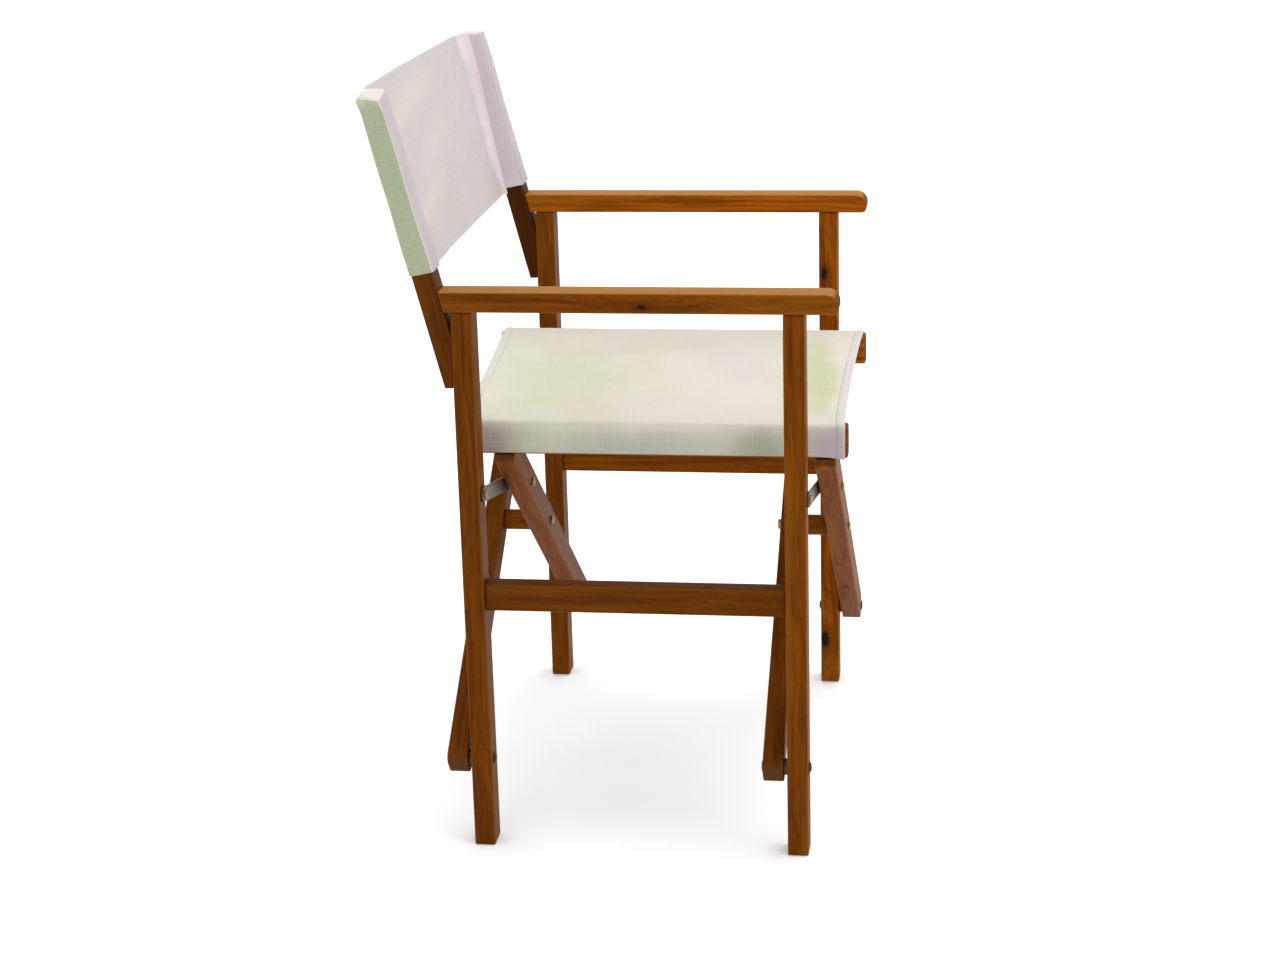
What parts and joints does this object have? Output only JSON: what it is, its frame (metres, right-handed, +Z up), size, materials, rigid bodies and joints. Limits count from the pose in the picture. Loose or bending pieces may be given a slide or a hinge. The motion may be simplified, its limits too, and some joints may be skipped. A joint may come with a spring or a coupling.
{
  "type": "folding chair",
  "caption": "Wooden director's chair with crossed folding legs, flat armrests, canvas seat and canvas back sleeved over leaning posts.",
  "frame": {"origin": "on the floor, under the middle of the open chair's outline", "axes": "+Z up, -Y the way the sitter faces, +X to the sitter's left"},
  "size_m": [0.5604, 0.5076, 0.851],
  "materials": {
    "wood": "oiled",
    "canvas": "woven cotton",
    "steel": "plain",
    "brass": "satin",
    "dark_metal": "darkened"
  },
  "bodies": {
    "right_frame": {"right_front_upright": "wood", "right_back_upright": "wood", "right_armrest": "wood", "right_side_stretcher": "wood", "right_back_post": "wood", "right_post_screw_lower": "steel", "right_post_screw_upper": "steel", "right_front_pivot_bolt": "dark_metal", "right_front_pivot_spacer": "dark_metal", "right_front_pivot_nut": "dark_metal", "right_front_strap_upright_bolt": "brass", "right_back_pivot_bolt": "dark_metal", "right_back_pivot_spacer": "dark_metal", "right_back_pivot_nut": "dark_metal", "right_back_strap_upright_bolt": "brass", "right_canvas_sleeve": "canvas", "back_canvas_panel": "canvas"},
    "left_rail_frame": {"left_rail_front_leg": "wood", "left_rail_back_leg": "wood", "left_seat_rail": "wood", "left_front_strap_leg_bolt": "brass", "left_back_strap_leg_bolt": "brass"},
    "right_rail_frame": {"right_rail_front_leg": "wood", "right_rail_back_leg": "wood", "right_seat_rail": "wood", "right_front_strap_leg_bolt": "brass", "right_back_strap_leg_bolt": "brass", "front_crossing_bolt": "brass", "front_crossing_spacer": "wood", "front_crossing_nut": "brass", "back_crossing_bolt": "brass", "back_crossing_spacer": "wood", "back_crossing_nut": "brass", "seat_canvas": "canvas"},
    "left_frame": {"left_front_upright": "wood", "left_back_upright": "wood", "left_armrest": "wood", "left_side_stretcher": "wood", "left_back_post": "wood", "left_post_screw_lower": "steel", "left_post_screw_upper": "steel", "left_front_pivot_bolt": "dark_metal", "left_front_pivot_spacer": "dark_metal", "left_front_pivot_nut": "dark_metal", "left_front_strap_upright_bolt": "brass", "left_back_pivot_bolt": "dark_metal", "left_back_pivot_spacer": "dark_metal", "left_back_pivot_nut": "dark_metal", "left_back_strap_upright_bolt": "brass", "left_canvas_sleeve": "canvas"},
    "right_straps": {"right_front_strap": "steel", "right_front_strap_rivet": "steel", "right_back_strap": "steel", "right_back_strap_rivet": "steel"},
    "left_straps": {"left_front_strap": "steel", "left_front_strap_rivet": "steel", "left_back_strap": "steel", "left_back_strap_rivet": "steel"}
  },
  "joints": [
    {"name": "fold", "type": "hinge", "parent": "right_frame", "child": "left_rail_frame", "pos_m": [-0.262, -0.0248, 0.1005], "axis": [0, -1, 0], "range_deg": [0, 38.9], "deforming": ["back_canvas_panel"]},
    {"name": "crossing", "type": "hinge", "parent": "left_rail_frame", "child": "right_rail_frame", "pos_m": [0, -0.0248, 0.296], "axis": [0, -1, 0], "range_deg": [-82.56, 0], "deforming": ["seat_canvas"]},
    {"name": "left_lower_pivot", "type": "hinge", "parent": "right_rail_frame", "child": "left_frame", "pos_m": [0.262, -0.0248, 0.1005], "axis": [0, -1, 0], "range_deg": [0, 38.9]},
    {"name": "right_strap_swing", "type": "hinge", "parent": "right_frame", "child": "right_straps", "pos_m": [-0.262, -0.0248, 0.411], "axis": [0, -1, 0], "range_deg": [0, 79.96]},
    {"name": "left_strap_swing", "type": "hinge", "parent": "left_frame", "child": "left_straps", "pos_m": [0.262, -0.0248, 0.411], "axis": [0, -1, 0], "range_deg": [-79.96, 0]}
  ],
  "couplings": [
    {"joint": "crossing", "follows": "fold", "ratio": -2.1216},
    {"joint": "left_lower_pivot", "follows": "fold", "ratio": 1},
    {"joint": "right_strap_swing", "follows": "fold", "ratio": 2.0549},
    {"joint": "left_strap_swing", "follows": "fold", "ratio": -2.0549}
  ]
}
